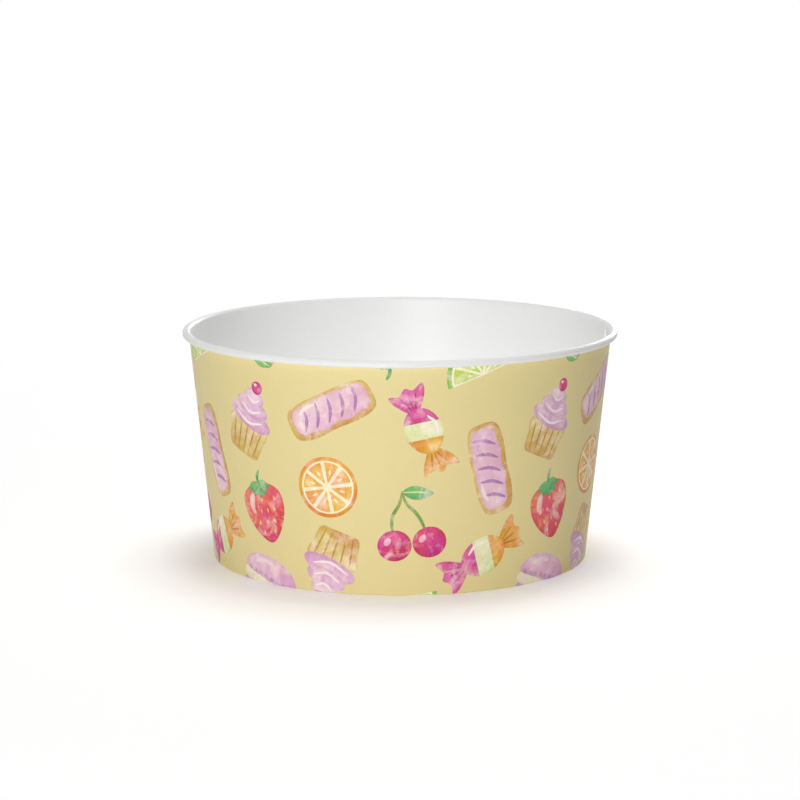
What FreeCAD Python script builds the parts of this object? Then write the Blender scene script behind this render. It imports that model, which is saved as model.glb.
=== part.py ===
import FreeCAD, Part
import math
import os

import Sketcher

# Paper dessert cup, in millimetres. A fan-shaped board blank is wrapped into a cone, sealed
# along a lap, rolled outwards at the rim and folded inwards at the foot. A round base blank
# sits a little above the table, with its skirt gripped between the wall and the folded hem.
# +Z is up. The origin is on the table, on the cup's axis.

SIZES = {
    # Outside of the cup
    "rim_diameter": 150.0,
    "foot_diameter": 129.5,
    "cup_height": 79.7,
    # Boards, and the film of coating that seals them to each other
    "wall_board": 0.45,
    "base_board": 0.4,
    "seal_film": 0.02,
    # Rolled rim: the hollow left inside it, and the play between its turns
    "curl_bore": 0.75,
    "curl_play": 0.05,
    # Foot: the fold's inside corners, and how far the hem stops below the base
    "fold_inside_radius": 0.08,
    "hem_stop": 1.0,
    # Base: its underside's height, its bend, and how far its skirt stops above the fold
    "base_recess": 7.0,
    "base_bend_radius": 0.5,
    "skirt_stop": 0.5,
    # Lap seam: the outer ply's overlap and ramp, its place round the cup, and how far
    # the raw lower edge stands above the foot fold
    "lap_width": 8.0,
    "lap_ramp": 2.5,
    "lap_azimuth": 8.0,
    "lap_foot_play": 0.3,
}

# Sizes that follow from those, in the sheet's own names
CURL_RADIUS = "(sizes.curl_bore / 2 + 2 * sizes.wall_board + sizes.curl_play)"
CURL_INSIDE_RADIUS = f"({CURL_RADIUS} - sizes.wall_board)"
CURL_CENTRE_OUT = f"(sizes.rim_diameter / 2 - {CURL_RADIUS})"
CURL_CENTRE_UP = f"(sizes.cup_height - {CURL_RADIUS})"
FOOT_RADIUS = "(sizes.foot_diameter / 2)"
FOLD_RADIUS = "(sizes.wall_board + sizes.fold_inside_radius)"
HEM_TO_WALL = "(2 * sizes.wall_board + sizes.base_board + 2 * sizes.seal_film)"
HEM_TOP = "(sizes.base_recess - sizes.hem_stop)"
FLOOR_HEIGHT = "(sizes.base_recess + sizes.base_board)"
BASE_BEND = "(sizes.base_bend_radius + sizes.base_board)"
SKIRT_INSET = "(sizes.wall_board + sizes.seal_film)"
SKIRT_FOOT = "(sizes.wall_board + sizes.skirt_stop)"
LAP_FOOT = "(sizes.wall_board + sizes.lap_foot_play)"
WALL_TILT = "wall_path.Constraints.wall_tilt"
LEVEL_BOARD = f"(sizes.wall_board / cos({WALL_TILT}))"

# Parts of a sketch: its two axes, and the points of a line or an arc
AXIS_ACROSS, AXIS_UP = range(-1, -3, -1)
START, END, CENTRE = range(1, 4)

ORIGIN = FreeCAD.Vector(0, 0, 0)
X_AXIS = FreeCAD.Vector(1, 0, 0)
Z_AXIS = FreeCAD.Vector(0, 0, 1)


def make_sheet(doc):
    sheet = doc.addObject("Spreadsheet::Sheet", "sizes")
    for row, (name, value) in enumerate(SIZES.items(), start=1):
        sheet.set(f"A{row}", name)
        sheet.set(f"B{row}", str(value))
        sheet.setAlias(f"B{row}", name)
    doc.recompute()
    return sheet


def hold(sketch, *constraint):
    sketch.addConstraint(Sketcher.Constraint(*constraint))


def size(sketch, name, expression, *constraint):
    """Add a constraint with a size, and bind that size to the sheet."""
    value = sketch.evalExpression(expression)
    if constraint[0] == "Angle":
        value = math.radians(value.Value)
    index = sketch.addConstraint(Sketcher.Constraint(*constraint, value))
    sketch.renameConstraint(index, name)
    sketch.setExpression(f"Constraints.{name}", expression)


def point(across, up):
    return FreeCAD.Vector(across, up, 0)


def turned(degrees):
    """The direction at an angle from the sketch's own X axis."""
    return point(math.cos(math.radians(degrees)), math.sin(math.radians(degrees)))


def arc(centre, radius, start_degrees, end_degrees):
    circle = Part.Circle(centre, Z_AXIS, radius)
    return Part.ArcOfCircle(circle, math.radians(start_degrees), math.radians(end_degrees))


def half_section_sketch(doc, name):
    """A sketch that stands upright through the cup's axis."""
    sketch = doc.addObject("Sketcher::SketchObject", name)
    sketch.Placement = FreeCAD.Placement(ORIGIN, FreeCAD.Rotation(X_AXIS, 90))
    return sketch


def foot_edge_point(sketch, foot_edge):
    """Hold a construction point where the wall's printed face would meet the table."""
    hold(sketch, "PointOnObject", foot_edge, START, AXIS_ACROSS)
    size(
        sketch, "foot_radius", FOOT_RADIUS,
        "DistanceX", AXIS_ACROSS, START, foot_edge, START,
    )


def board_solid(doc, name, path, thickness):
    """Thicken a path into a board section with square-cut ends, and turn it about the
    cup's axis. A positive thickness lies to the left of the path as it runs."""
    section = doc.addObject("Part::Offset2D", f"{name}_section")
    section.Source = path
    section.Mode = "Skin"
    section.Join = "Arc"
    section.Fill = True
    section.setExpression("Value", thickness)
    solid = doc.addObject("Part::Revolution", name)
    solid.Source = section
    solid.Base = ORIGIN
    solid.Axis = Z_AXIS
    solid.Angle = 360
    solid.Solid = True
    return solid


def make_wall_path(doc, sheet):
    """The printed face of the wall in half section: down the hem, round the fold, up the
    wall and round the roll, to the board's end inside it. The outline starts close to its
    final place, and its constraints hold it there."""
    sketch = half_section_sketch(doc, "wall_path")
    foot_radius = sketch.evalExpression(FOOT_RADIUS)
    fold_radius = sketch.evalExpression(FOLD_RADIUS)
    over_radius = sketch.evalExpression(CURL_INSIDE_RADIUS)
    tail_radius = sheet.curl_bore / 2
    under_radius = (over_radius + tail_radius) / 2
    curl_centre = point(
        sketch.evalExpression(CURL_CENTRE_OUT), sketch.evalExpression(CURL_CENTRE_UP)
    )

    # The wall is the line from the foot's edge that just touches the inside of the roll
    foot_to_curl = curl_centre - point(foot_radius, 0)
    rise = math.degrees(math.atan2(foot_to_curl.y, foot_to_curl.x))
    tilt = math.degrees(math.acos(over_radius / foot_to_curl.Length)) - rise
    out = turned(-tilt)
    up = turned(90 - tilt)
    wall_top = curl_centre - out * over_radius
    curl_outside = curl_centre + out * over_radius
    under_centre = curl_centre + out * (over_radius - under_radius)
    outer_fold = point(foot_radius - fold_radius, fold_radius)
    fold_width = sketch.evalExpression(HEM_TO_WALL) - 2 * fold_radius
    inner_fold = outer_fold - point(fold_width, 0)
    hem_foot = inner_fold - out * fold_radius
    hem_top = hem_foot + up * sketch.evalExpression(HEM_TOP)

    hem, inner_corner, flat, outer_corner, wall, over, under, tail = range(8)
    sketch.addGeometry([
        Part.LineSegment(hem_top, hem_foot),
        arc(inner_fold, fold_radius, 180 - tilt, 270),
        Part.LineSegment(point(inner_fold.x, 0), point(outer_fold.x, 0)),
        arc(outer_fold, fold_radius, 270, 360 - tilt),
        Part.LineSegment(outer_fold + out * fold_radius, wall_top),
        arc(curl_centre, over_radius, -tilt, 180 - tilt),
        arc(under_centre, under_radius, 180 - tilt, 360 - tilt),
        arc(curl_centre, tail_radius, 90, 180 - tilt),
    ], False)
    across_curl, foot_edge = range(8, 10)
    sketch.addGeometry([
        Part.LineSegment(wall_top, curl_outside),
        Part.Point(point(foot_radius, 0)),
    ], True)

    # The board bends without a kink
    hold(sketch, "Tangent", hem, END, inner_corner, START)
    hold(sketch, "Tangent", inner_corner, END, flat, START)
    hold(sketch, "Tangent", flat, END, outer_corner, START)
    hold(sketch, "Tangent", outer_corner, END, wall, START)
    hold(sketch, "Tangent", wall, END, over, END)
    hold(sketch, "Tangent", over, START, under, END)
    hold(sketch, "Tangent", under, START, tail, END)

    # Foot fold: it stands flat on the table, and the hem runs up beside the wall
    hold(sketch, "Horizontal", flat)
    hold(sketch, "PointOnObject", flat, START, AXIS_ACROSS)
    hold(sketch, "Equal", inner_corner, outer_corner)
    hold(sketch, "Parallel", hem, wall)
    size(sketch, "fold_radius", FOLD_RADIUS, "Radius", outer_corner)
    size(sketch, "hem_to_wall", HEM_TO_WALL, "Distance", hem, START, wall)
    size(sketch, "hem_top", HEM_TOP, "DistanceY", AXIS_ACROSS, START, hem, START)

    # Wall: its face, carried on down to the table, meets it on the foot circle
    foot_edge_point(sketch, foot_edge)
    hold(sketch, "PointOnObject", foot_edge, START, wall)

    # Rolled rim: over the top, back underneath, and a last quarter turn inside the first
    size(sketch, "curl_out", CURL_CENTRE_OUT, "DistanceX", AXIS_ACROSS, START, over, CENTRE)
    size(sketch, "curl_up", CURL_CENTRE_UP, "DistanceY", AXIS_ACROSS, START, over, CENTRE)
    size(sketch, "over_radius", CURL_INSIDE_RADIUS, "Radius", over)
    size(sketch, "tail_radius", "sizes.curl_bore / 2", "Radius", tail)
    hold(sketch, "Coincident", over, CENTRE, tail, CENTRE)
    hold(sketch, "Coincident", across_curl, START, wall, END)
    hold(sketch, "Coincident", across_curl, END, over, START)
    hold(sketch, "PointOnObject", over, CENTRE, across_curl)
    hold(sketch, "Vertical", tail, START, tail, CENTRE)

    # The tilt that follows from these sizes, for what lies against the wall
    index = sketch.addConstraint(
        Sketcher.Constraint("Angle", wall, START, AXIS_UP, START, math.radians(tilt))
    )
    sketch.setDriving(index, False)
    sketch.renameConstraint(index, "wall_tilt")
    doc.recompute()
    return sketch


def make_base_path(doc, sheet):
    """The upper face of the base in half section: from the axis out to the bend, and down
    the outside of the skirt, which lies along the inside of the wall."""
    sketch = half_section_sketch(doc, "base_path")
    tilt = sketch.evalExpression(WALL_TILT).Value
    bend = sketch.evalExpression(BASE_BEND)
    floor_height = sketch.evalExpression(FLOOR_HEIGHT)
    foot_edge_place = point(sketch.evalExpression(FOOT_RADIUS), 0)
    out = turned(-tilt)
    up = turned(90 - tilt)
    skirt_base = foot_edge_place - out * sketch.evalExpression(SKIRT_INSET)
    skirt_foot = skirt_base + up * sketch.evalExpression(SKIRT_FOOT)
    skirt_top = skirt_base + up * (floor_height - bend)
    bend_centre = skirt_top - out * bend

    disc, corner, skirt, foot_edge = range(4)
    sketch.addGeometry([
        Part.LineSegment(point(0, floor_height), point(bend_centre.x, floor_height)),
        arc(bend_centre, bend, -tilt, 90),
        Part.LineSegment(skirt_top, skirt_foot),
    ], False)
    sketch.addGeometry(Part.Point(foot_edge_place), True)

    # Disc: flat and level, bent down at its edge without a kink
    hold(sketch, "PointOnObject", disc, START, AXIS_UP)
    hold(sketch, "Horizontal", disc)
    hold(sketch, "Tangent", disc, END, corner, END)
    hold(sketch, "Tangent", corner, START, skirt, START)
    size(sketch, "floor_height", FLOOR_HEIGHT, "DistanceY", AXIS_ACROSS, START, disc, START)
    size(sketch, "bend_radius", BASE_BEND, "Radius", corner)

    # Skirt: sealed along the inside of the wall, down to just above the fold
    foot_edge_point(sketch, foot_edge)
    size(sketch, "skirt_tilt", WALL_TILT, "Angle", skirt, END, AXIS_UP, START)
    size(sketch, "skirt_inset", SKIRT_INSET, "Distance", foot_edge, START, skirt)
    size(sketch, "skirt_foot", SKIRT_FOOT, "DistanceY", AXIS_ACROSS, START, skirt, END)
    doc.recompute()
    return sketch


def level_seam_sketch(doc, name, height):
    """A level sketch at a height on the seam. Its own X axis points from the cup's axis
    out through the raw edge of the inner ply."""
    sketch = doc.addObject("Sketcher::SketchObject", name)
    sketch.setExpression("Placement.Base.z", height)
    sketch.setExpression("Placement.Rotation.Angle", "sizes.lap_azimuth")
    return sketch


def printed_face_radius(height):
    """The radius of the wall's printed face at a height, as an expression."""
    return f"({FOOT_RADIUS} + {height} * tan({WALL_TILT}))"


def make_ply_section(doc, sheet, name, height):
    """The outer ply where it lies on the inner one: it climbs a ramp onto it, and ends in
    a raw edge. The section bites half a board into the wall that it is sealed to."""
    sketch = level_seam_sketch(doc, name, height)
    crest_radius = f"{printed_face_radius(height)} + {LEVEL_BOARD}"
    bite_radius = f"{printed_face_radius(height)} - {LEVEL_BOARD} / 2"
    crest_out = sketch.evalExpression(crest_radius)
    bite_out = sketch.evalExpression(bite_radius)
    lap_turn = math.degrees(math.asin(sheet.lap_width / crest_out))
    ramp_turn = math.degrees(math.asin(sheet.lap_ramp / bite_out))

    crest, raw_edge, bite, ramp = range(4)
    sketch.addGeometry([
        arc(ORIGIN, crest_out, 0, lap_turn),
        Part.LineSegment(turned(lap_turn) * crest_out, turned(lap_turn) * bite_out),
        arc(ORIGIN, bite_out, -ramp_turn, lap_turn),
        Part.LineSegment(turned(-ramp_turn) * bite_out, point(crest_out, 0)),
    ], False)
    hold(sketch, "Coincident", crest, END, raw_edge, START)
    hold(sketch, "Coincident", raw_edge, END, bite, END)
    hold(sketch, "Coincident", bite, START, ramp, START)
    hold(sketch, "Coincident", ramp, END, crest, START)
    hold(sketch, "Coincident", crest, CENTRE, AXIS_ACROSS, START)
    hold(sketch, "Coincident", bite, CENTRE, AXIS_ACROSS, START)
    hold(sketch, "PointOnObject", AXIS_ACROSS, START, raw_edge)
    hold(sketch, "PointOnObject", crest, START, AXIS_ACROSS)
    size(sketch, "crest_radius", crest_radius, "Radius", crest)
    size(sketch, "bite_radius", bite_radius, "Radius", bite)
    size(
        sketch, "lap_width", "sizes.lap_width",
        "DistanceY", AXIS_ACROSS, START, crest, END,
    )
    size(
        sketch, "lap_ramp", "sizes.lap_ramp",
        "DistanceY", bite, START, AXIS_ACROSS, START,
    )
    return sketch


def make_groove_section(doc, sheet, name, height):
    """The groove inside the seam: the outer ply leaves the inside face on its ramp, and
    the inner ply ends beside it in a raw edge one board deep. The section's third corner
    lies clear of the wall, inside the cup."""
    sketch = level_seam_sketch(doc, name, height)
    deep_radius = printed_face_radius(height)
    inside_radius = f"{deep_radius} - {LEVEL_BOARD}"
    clear_radius = f"{deep_radius} - 2 * {LEVEL_BOARD}"
    inside_out = sketch.evalExpression(inside_radius)
    ramp_turn = math.degrees(math.asin(sheet.lap_ramp / inside_out))
    ramp_start = turned(-ramp_turn) * inside_out
    deep = point(sketch.evalExpression(deep_radius), 0)
    clear = point(sketch.evalExpression(clear_radius), 0)

    ramp, raw_edge, closing = range(3)
    sketch.addGeometry([
        Part.LineSegment(ramp_start, deep),
        Part.LineSegment(deep, clear),
        Part.LineSegment(clear, ramp_start),
    ], False)
    hold(sketch, "Coincident", ramp, END, raw_edge, START)
    hold(sketch, "Coincident", raw_edge, END, closing, START)
    hold(sketch, "Coincident", closing, END, ramp, START)
    hold(sketch, "PointOnObject", ramp, END, AXIS_ACROSS)
    hold(sketch, "PointOnObject", raw_edge, END, AXIS_ACROSS)
    size(sketch, "deep", deep_radius, "DistanceX", AXIS_ACROSS, START, ramp, END)
    size(sketch, "clear", clear_radius, "DistanceX", AXIS_ACROSS, START, raw_edge, END)
    size(sketch, "inside", inside_radius, "Distance", AXIS_ACROSS, START, ramp, START)
    size(
        sketch, "lap_ramp", "sizes.lap_ramp",
        "DistanceY", ramp, START, AXIS_ACROSS, START,
    )
    return sketch


def seam_loft(doc, name, sections):
    loft = doc.addObject("Part::Loft", name)
    loft.Sections = sections
    loft.Solid = True
    loft.Ruled = True
    return loft


def make_sidewall(doc, sheet):
    """The wall blank: the turned board with its roll and hem, the outer ply of the lap
    added outside, and the groove beside the inner ply's edge taken out inside."""
    wall_path = make_wall_path(doc, sheet)
    wrapped_board = board_solid(doc, "wrapped_board", wall_path, "sizes.wall_board")
    outer_ply = seam_loft(doc, "outer_ply", [
        make_ply_section(doc, sheet, "ply_foot", LAP_FOOT),
        make_ply_section(doc, sheet, "ply_top", CURL_CENTRE_UP),
    ])
    groove = seam_loft(doc, "seam_groove", [
        make_groove_section(doc, sheet, "groove_foot", "sizes.base_recess"),
        make_groove_section(doc, sheet, "groove_top", CURL_CENTRE_UP),
    ])
    lapped_board = doc.addObject("Part::Fuse", "lapped_board")
    lapped_board.Base = wrapped_board
    lapped_board.Tool = outer_ply
    sidewall = doc.addObject("Part::Cut", "sidewall")
    sidewall.Base = lapped_board
    sidewall.Tool = groove
    sidewall.Label = "sidewall"
    return sidewall


def make_base_disc(doc, sheet):
    """The base blank, pressed into a shallow pan that opens downwards."""
    base_path = make_base_path(doc, sheet)
    base_disc = board_solid(doc, "base_disc", base_path, "-sizes.base_board")
    base_disc.Label = "base_disc"
    return base_disc


def check(doc, pieces):
    """Stop if an object failed to build, or a piece is not one sound solid."""
    for item in doc.Objects:
        failed = {"Invalid", "Error"}.intersection(item.State)
        if failed:
            raise RuntimeError(f"{item.Name} is {failed}")
    for piece in pieces:
        shape = piece.Shape
        if shape.isNull() or not shape.isValid() or len(shape.Solids) != 1:
            raise RuntimeError(f"{piece.Label} is not one sound solid")


def write(pieces):
    os.makedirs("parts", exist_ok=True)
    for piece in pieces:
        piece.Shape.exportStep(f"parts/{piece.Label}.step")
        print(f"{piece.Label}: {piece.Shape.Volume:.1f} mm3")


document = FreeCAD.newDocument("paper_dessert_cup")
sizes = make_sheet(document)
cup_pieces = [make_sidewall(document, sizes), make_base_disc(document, sizes)]
document.recompute()
check(document, cup_pieces)
write(cup_pieces)
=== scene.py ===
import math

import bpy
import numpy as np
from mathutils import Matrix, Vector
from mathutils.geometry import delaunay_2d_cdt
from mathutils.kdtree import KDTree


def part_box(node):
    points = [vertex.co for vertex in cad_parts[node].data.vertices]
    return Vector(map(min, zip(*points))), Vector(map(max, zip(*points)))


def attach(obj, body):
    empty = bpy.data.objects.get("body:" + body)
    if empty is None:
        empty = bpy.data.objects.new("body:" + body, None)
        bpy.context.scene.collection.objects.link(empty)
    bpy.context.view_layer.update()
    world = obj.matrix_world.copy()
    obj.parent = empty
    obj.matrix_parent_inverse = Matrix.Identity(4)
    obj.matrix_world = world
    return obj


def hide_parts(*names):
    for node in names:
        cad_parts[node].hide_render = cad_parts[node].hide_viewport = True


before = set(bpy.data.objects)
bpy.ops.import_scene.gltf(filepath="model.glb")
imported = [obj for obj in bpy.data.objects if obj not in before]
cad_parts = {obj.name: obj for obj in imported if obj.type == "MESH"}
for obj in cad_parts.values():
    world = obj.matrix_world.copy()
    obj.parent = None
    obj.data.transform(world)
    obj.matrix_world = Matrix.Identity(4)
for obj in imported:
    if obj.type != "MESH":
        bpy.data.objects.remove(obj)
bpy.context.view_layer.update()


# Sidewall, its board in half section. One fan-shaped blank of cupstock is wrapped into a
# cone. Its top edge is rolled outwards into the rim, and its foot is folded in and up as a
# hem. The path runs along the printed face, and the white face lies one board to its left.
MM = 0.001
wall_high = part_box("sidewall")[1]
RIM_RADIUS = round(wall_high.x / MM, 1)
CUP_HEIGHT = round(wall_high.z / MM, 1)
FOOT_RADIUS = 64.75
BOARD = 0.45
BASE_BOARD = 0.4
SEAL_FILM = 0.02
CURL_BORE = 0.75
CURL_PLAY = 0.05
CREASE_RADIUS = 0.08
FOLD_RADIUS = BOARD + CREASE_RADIUS
HEM_TOP = 6.0
HEM_ROWS, FOLD_ROWS, FLAT_ROWS, WALL_ROWS = 4, 6, 1, 40
OVER_ROWS, UNDER_ROWS, TAIL_ROWS = 20, 16, 5
QUARTER_TURN, HALF_TURN, WHOLE_TURN = math.pi / 2, math.pi, 2 * math.pi

tail_radius = CURL_BORE / 2
over_radius = tail_radius + BOARD + CURL_PLAY
under_radius = (over_radius + tail_radius) / 2
curl_radius = over_radius + BOARD
curl_centre = np.array([RIM_RADIUS - curl_radius, CUP_HEIGHT - curl_radius])

# The wall is the line from the foot circle that just touches the inside of the roll
foot_to_curl = curl_centre - [FOOT_RADIUS, 0]
tilt = math.acos(over_radius / np.hypot(*foot_to_curl)) - math.atan2(*foot_to_curl[::-1])
wall_out = np.array([math.cos(tilt), -math.sin(tilt)])
wall_up = np.array([math.sin(tilt), math.cos(tilt)])
hem_to_wall = 2 * BOARD + BASE_BOARD + 2 * SEAL_FILM
fold_rise = FOLD_RADIUS * (1 - math.sin(tilt)) * math.tan(tilt)
outer_fold = np.array([FOOT_RADIUS + fold_rise - FOLD_RADIUS * math.cos(tilt), FOLD_RADIUS])
inner_fold = outer_fold - [(hem_to_wall - 2 * FOLD_RADIUS) / math.cos(tilt), 0]
to_table = np.array([0, -FOLD_RADIUS])


def straight(start, end, steps):
    """Points of a line, each with the direction to its left."""
    way = (end - start) / np.linalg.norm(end - start)
    points = start + np.linspace(0, 1, steps + 1)[:, None] * (end - start)
    return np.hstack([points, np.tile([-way[1], way[0]], (steps + 1, 1))])


def bend(centre, radius, start, end, steps):
    """Points of an arc, each with the direction to its left."""
    turn = np.linspace(start, end, steps + 1)[:, None]
    spokes = np.hstack([np.cos(turn), np.sin(turn)])
    return np.hstack([centre + radius * spokes, spokes * np.sign(start - end)])


def joined(*stretches):
    """Stretches end to end, each without the point that it shares with the one before."""
    return np.vstack([stretches[0]] + [stretch[1:] for stretch in stretches[1:]])


hem_foot = inner_fold - wall_out * FOLD_RADIUS
hem_top = hem_foot + wall_up * (HEM_TOP - hem_foot[1]) / math.cos(tilt)
wall_foot = outer_fold + wall_out * FOLD_RADIUS
wall_top = curl_centre - wall_out * over_radius
under_centre = curl_centre + wall_out * (over_radius - under_radius)
path = joined(
    straight(hem_top, hem_foot, HEM_ROWS),
    bend(inner_fold, FOLD_RADIUS, HALF_TURN - tilt, 1.5 * HALF_TURN, FOLD_ROWS),
    straight(inner_fold + to_table, outer_fold + to_table, FLAT_ROWS),
    bend(outer_fold, FOLD_RADIUS, 1.5 * HALF_TURN, WHOLE_TURN - tilt, FOLD_ROWS),
    straight(wall_foot, wall_top, WALL_ROWS),
    bend(curl_centre, over_radius, HALF_TURN - tilt, -tilt, OVER_ROWS),
    bend(under_centre, under_radius, WHOLE_TURN - tilt, HALF_TURN - tilt, UNDER_ROWS),
    bend(curl_centre, tail_radius, HALF_TURN - tilt, QUARTER_TURN, TAIL_ROWS),
)
WALL_START = HEM_ROWS + 2 * FOLD_ROWS + FLAT_ROWS
WALL_END = WALL_START + WALL_ROWS
path_length = np.append(0, np.cumsum(np.hypot(*np.diff(path[:, :2], axis=0).T)))
foot_line, top_line = path_length[[WALL_START, WALL_END]]


# Sidewall, its lap seam. One end of the blank lies on the other: outside, the outer ply
# climbs a ramp and stops in a raw edge. Inside, the inner ply's raw edge leaves a groove.
LAP_WIDTH = 8.0
LAP_RAMP = 2.5
LAP_AZIMUTH = math.radians(8)
WRAP_STEPS = 256
RAMP_STEPS = 4
EDGE_STEP = math.radians(0.03)
SEAM_CLEARANCE = math.radians(0.35)
# Where the doubled ply starts and where it is whole, from the wall's foot and from its top,
# and the same for the groove, from the table and from the rim
PLY_FROM_FOOT = (0.1, 0.8)
PLY_FROM_TOP = (0.75, 1.55)
GROOVE_FROM_TABLE = (7.0, 7.2)
GROOVE_FROM_RIM = (1.4, 2.0)

middle_radius = (wall_foot[0] + wall_top[0]) / 2
raw_edge = LAP_AZIMUTH + math.asin(LAP_WIDTH / middle_radius)
crest_start = LAP_AZIMUTH + WHOLE_TURN
ramp_start = crest_start - LAP_RAMP / middle_radius
ramp_turns = np.linspace(ramp_start, crest_start, RAMP_STEPS + 1)
seam_turns = np.append(ramp_turns, crest_start + EDGE_STEP)
even_turns = np.linspace(raw_edge, raw_edge + WHOLE_TURN, WRAP_STEPS + 1)
clear_of_seam = np.abs(even_turns[:, None] - seam_turns).min(1) > SEAM_CLEARANCE
turns = np.sort(np.append(even_turns[clear_of_seam], seam_turns))
sheet_width = WHOLE_TURN * middle_radius
columns = (turns - raw_edge) * middle_radius


def between(value, low, high):
    """0 below low, 1 above high, and a straight ramp between them."""
    return np.clip((value - low) / (high - low), 0, 1)


def ply_lift(column, length):
    """How far the printed face stands out where the outer ply lies on the inner one."""
    along = between(column / middle_radius + raw_edge, ramp_start, crest_start)
    rise = along * along * (3 - 2 * along)
    foot_fade = between(length - foot_line, *PLY_FROM_FOOT)
    top_fade = between(top_line - length, *PLY_FROM_TOP)
    return BOARD * rise * foot_fade * top_fade


def groove_depth(turn, height):
    """How far the white face stands back beside the inner ply's raw edge."""
    depth = between(turn, ramp_start, crest_start) * (turn < crest_start + EDGE_STEP / 2)
    foot_fade = between(height, *GROOVE_FROM_TABLE)
    top_fade = between(CUP_HEIGHT - height, *GROOVE_FROM_RIM)
    return BOARD * depth * foot_fade * top_fade


def turned(radius, height, turn):
    """Points at a radius and a height, turned about the cup's axis."""
    return np.stack([radius * np.cos(turn), radius * np.sin(turn), height + 0 * turn], -1)


# Sidewall, the outlines of its print. The design is drawn flat, in millimetres, as washes
# of thin paint: closed outlines with a few curves each, and tapering brush strokes.
OUTLINE_STEP = 1.0
FEWEST_STEPS = 7
STROKE_TIP = 0.3
STROKE_SWELL = 0.6


def rounded(points, closed=True):
    """A smooth line through a few points."""
    points = np.array(points, float)
    if closed:
        guides = np.vstack([points[-1], points, points[:2]])
    else:
        guides = np.vstack([2 * points[0] - points[1], points, 2 * points[-1] - points[-2]])
    line = []
    for before, start, end, after in zip(guides, guides[1:], guides[2:], guides[3:]):
        steps = max(2, round(np.hypot(*(end - start)) / OUTLINE_STEP))
        share = np.arange(steps)[:, None] / steps
        line.append(start + 0.5 * share * (
            end - before + share * (
                2 * before - 5 * start + 4 * end - after
                + share * (3 * (start - end) + after - before)
            )
        ))
    if not closed:
        line.append(points[-1:])
    return np.vstack(line)


def ring(centre, across, up=None, lean=0.0, start=0.0, end=360.0):
    """An ellipse, or the slice of one, at a centre."""
    up = across if up is None else up
    span = math.radians(end - start)
    steps = max(FEWEST_STEPS, round(span * max(across, up) / OUTLINE_STEP))
    whole = end - start >= 360
    turn = math.radians(start) + np.linspace(0, span, steps + 1)[: -1 if whole else None]
    line = np.stack([across * np.cos(turn), up * np.sin(turn)], 1)
    if not whole:
        line = np.vstack([[[0.0, 0.0]], line])
    return line @ turning(lean).T + centre


def turning(degrees):
    """The matrix that turns flat points by an angle."""
    angle = math.radians(degrees)
    return np.array([[math.cos(angle), -math.sin(angle)], [math.sin(angle), math.cos(angle)]])


def stroke(points, width):
    """A brush stroke along a few points, thin at both ends."""
    line = rounded(points, closed=False)
    way = np.gradient(line, axis=0)
    side = np.stack([-way[:, 1], way[:, 0]], 1) / np.hypot(*way.T)[:, None]
    share = np.linspace(0, 1, len(line))[:, None]
    swell = STROKE_TIP + (1 - STROKE_TIP) * np.sin(math.pi * share) ** STROKE_SWELL
    reach = side * width / 2 * swell
    return np.vstack([line + reach, (line - reach)[::-1]])


def trimmed(outline, way, limit):
    """The part of an outline that lies no further than a limit along a direction."""
    reach = outline @ np.array(way, float) - limit
    kept = []
    for here, there, past, next_past in zip(
        outline, np.roll(outline, -1, 0), reach, np.roll(reach, -1)
    ):
        if past <= 0:
            kept.append(here)
        if past * next_past < 0:
            kept.append(here + (there - here) * past / (past - next_past))
    return np.array(kept)


def linear(code):
    """An sRGB hex colour as the linear values that a shader takes."""
    parts = [int(code[place:place + 2], 16) / 255 for place in (1, 3, 5)]
    return [part / 12.92 if part <= 0.04045 else ((part + 0.055) / 1.055) ** 2.4
            for part in parts]


def wash(outline, low, high, edge, lean=0.0):
    """A wash of paint: it runs from one colour to another, and pools darker at its edge."""
    colours = [np.array(linear(code)) for code in (low, high, edge)]
    return {"outline": outline, "colours": colours, "way": turning(lean) @ [0.0, 1.0]}


def flat_wash(outline, code):
    """A wash of one even colour."""
    return wash(outline, code, code, code)


# Sidewall, the motifs of its print: small generic pictures in lilac pink, magenta, red,
# green, lime, orange and tan. Each is a list of washes, in the order that they were
# painted, in millimetres about its own middle.
PALE = "#F6E3DA"


def leaf(base, tip, width, low="#4FA86C", high="#8CC66A"):
    base, tip = np.array(base, float), np.array(tip, float)
    side = np.array([base[1] - tip[1], tip[0] - base[0]]) / np.hypot(*(tip - base)) * width
    outline = rounded([base, base * 0.6 + tip * 0.4 + side / 2, tip,
                       base * 0.55 + tip * 0.45 - side / 2])
    vein = stroke([base, (base + tip) / 2 + side * 0.06, base * 0.2 + tip * 0.8], 0.7)
    return [wash(outline, low, high, "#2F8257"), flat_wash(vein, "#D5E3A6")]


def strawberry():
    body = rounded([(0, -14), (-6.5, -9), (-10.5, -1), (-10, 6), (-5, 9.5), (0, 8.5),
                    (5, 9.5), (10, 6), (10.5, -1), (6.5, -9)])
    parts = [wash(body, "#D63E55", "#EE6A62", "#BE2F4C", 15)]
    shine = rounded([(-7.5, 1), (-6.5, 5.5), (-3.5, 6.5), (-4.5, 2.5), (-6, -2)])
    parts.append(wash(shine, "#F4A59B", PALE, "#EE8C85"))
    for row, (height, count) in enumerate([(3.5, 3), (-1.0, 4), (-5.5, 3), (-9.5, 2)]):
        for place in np.linspace(-1, 1, count) * (6.8 - 1.3 * row):
            seed = stroke([(place, height - 0.9), (place * 0.97, height + 0.9)], 0.9)
            parts.append(flat_wash(seed, "#F2C96B"))
    for lean in (-68, -34, 0, 34, 68):
        tip = turning(lean) @ [0.0, -6.5] + [0, 10.5]
        parts += leaf((0, 10.5), tip, 3.6)[:1]
    parts.append(wash(stroke([(0, 10), (0.6, 13), (2.4, 15.5)], 1.5),
                      "#4FA86C", "#8CC66A", "#2F8257"))
    return parts


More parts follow.
